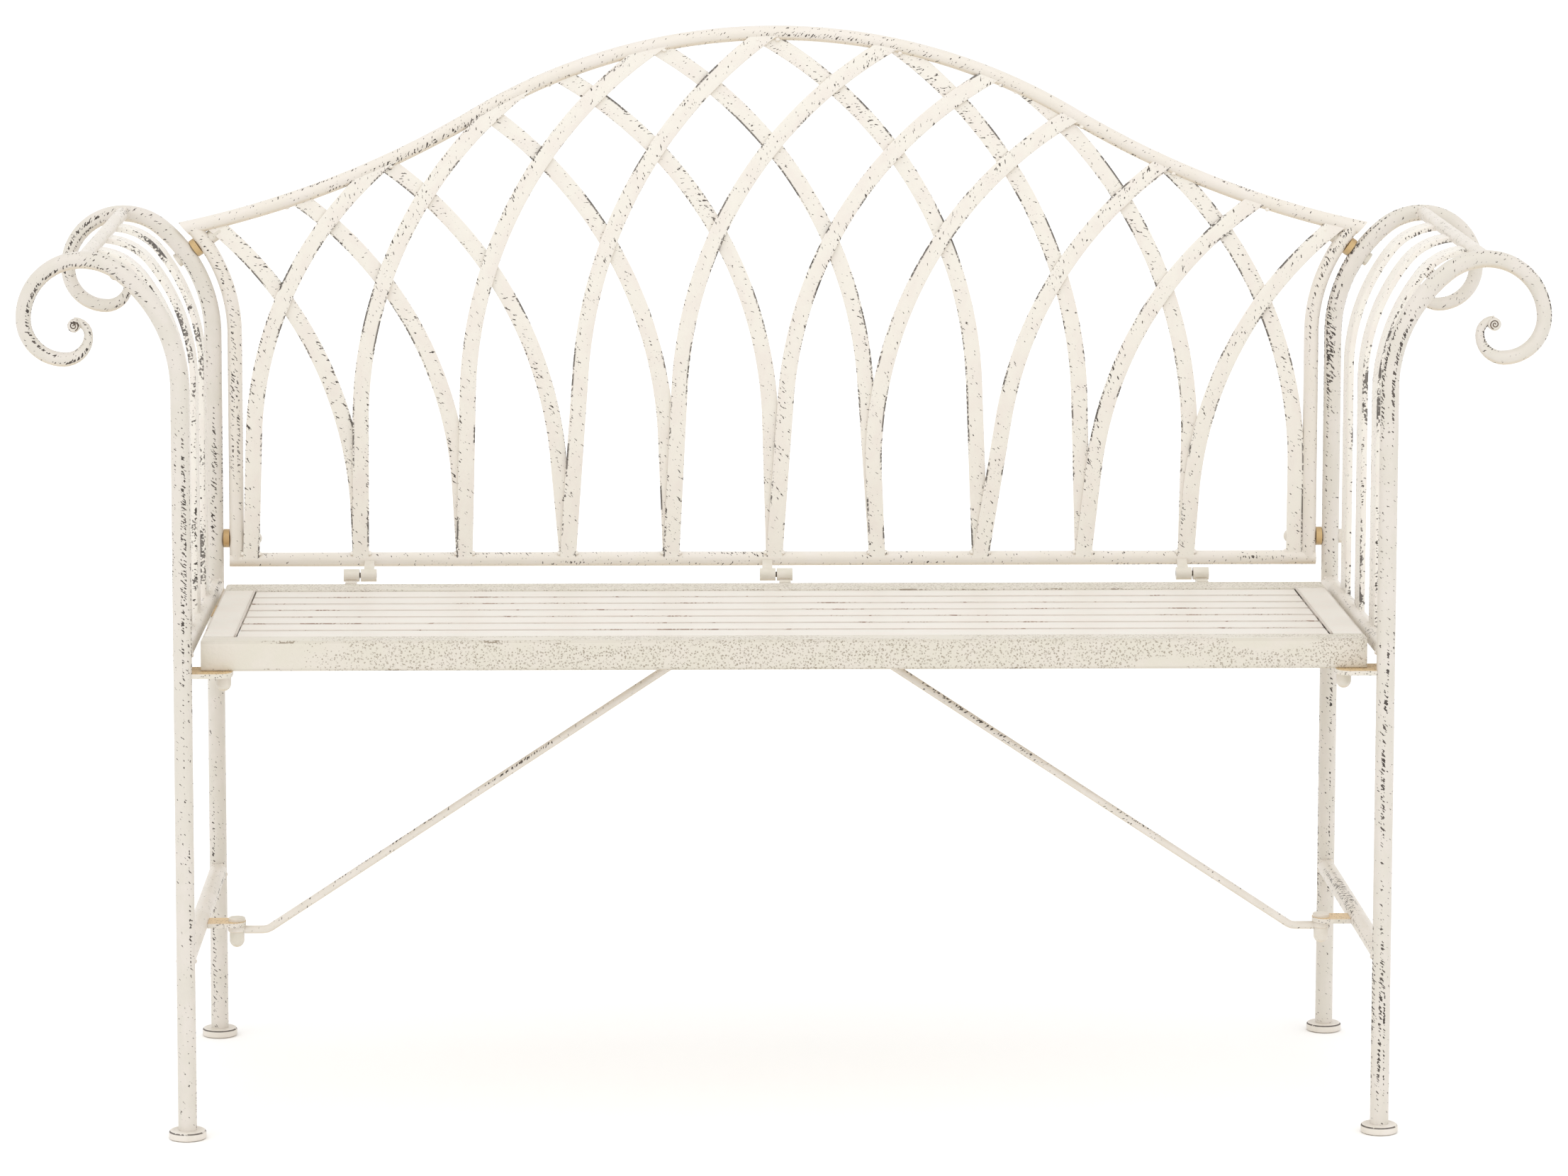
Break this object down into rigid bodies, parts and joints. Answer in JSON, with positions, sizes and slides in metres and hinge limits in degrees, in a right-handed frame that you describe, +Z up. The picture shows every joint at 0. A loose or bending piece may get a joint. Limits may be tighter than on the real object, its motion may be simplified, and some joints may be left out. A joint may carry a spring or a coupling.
{
  "type": "garden bench",
  "caption": "Distressed cream steel garden bench with scrolled arms, a slatted seat and an arched back of interlaced flat strips.",
  "frame": {"origin": "on the floor under the middle of the bench, midway between the feet", "axes": "+X to the viewer's right along the bench, -Y is the front the sitter faces, +Z up; left and right in node names are as a viewer in front sees them"},
  "size_m": [1.3032, 0.416, 0.9363],
  "materials": {
    "tube_paint": "satin cream paint with dark dry-brushed marks along the tubes",
    "strip_paint": "satin cream paint with fine dark lines along the edges",
    "seat_rail_paint": "satin cream paint with a hammered, pitted face",
    "slat_paint": "satin cream paint with faint brown streaks along the slats",
    "fitting_paint": "satin cream paint with dark flecks at the edges",
    "spacer_tan": "satin tan"
  },
  "bodies": {
    "root": {"back_bolts": "fitting_paint", "back_bottom_rail": "tube_paint", "back_dome_nuts": "fitting_paint", "back_spacers": "spacer_tan", "back_top_rail": "tube_paint", "brace_bolts": "fitting_paint", "brace_dome_nuts": "fitting_paint", "brace_tabs": "fitting_paint", "hinge_back_knuckles": "fitting_paint", "hinge_pins": "fitting_paint", "hinge_seat_knuckles": "fitting_paint", "lattice_front_01": "strip_paint", "lattice_front_02": "strip_paint", "lattice_front_03": "strip_paint", "lattice_front_04": "strip_paint", "lattice_front_05": "strip_paint", "lattice_front_06": "strip_paint", "lattice_front_07": "strip_paint", "lattice_front_08": "strip_paint", "lattice_front_09": "strip_paint", "lattice_front_10": "strip_paint", "lattice_rear_01": "strip_paint", "lattice_rear_02": "strip_paint", "lattice_rear_03": "strip_paint", "lattice_rear_04": "strip_paint", "lattice_rear_05": "strip_paint", "lattice_rear_06": "strip_paint", "lattice_rear_07": "strip_paint", "lattice_rear_08": "strip_paint", "lattice_rear_09": "strip_paint", "lattice_rear_10": "strip_paint", "left_arm_slats": "strip_paint", "left_arm_top_bar": "tube_paint", "left_brace": "tube_paint", "left_feet": "tube_paint", "left_front_leg": "tube_paint", "left_leg_stretcher": "tube_paint", "left_post": "tube_paint", "left_rear_leg": "tube_paint", "left_seat_end_plate": "slat_paint", "left_seat_side_bar": "seat_rail_paint", "left_side_rail": "tube_paint", "right_arm_slats": "strip_paint", "right_arm_top_bar": "tube_paint", "right_brace": "tube_paint", "right_feet": "tube_paint", "right_front_leg": "tube_paint", "right_leg_stretcher": "tube_paint", "right_post": "tube_paint", "right_rear_leg": "tube_paint", "right_seat_end_plate": "slat_paint", "right_seat_side_bar": "seat_rail_paint", "right_side_rail": "tube_paint", "seat_bolts": "fitting_paint", "seat_cross_bars": "slat_paint", "seat_dome_nuts": "fitting_paint", "seat_front_rail": "seat_rail_paint", "seat_rear_rail": "seat_rail_paint", "seat_slats": "slat_paint", "seat_tabs": "fitting_paint"}
  },
  "joints": []
}
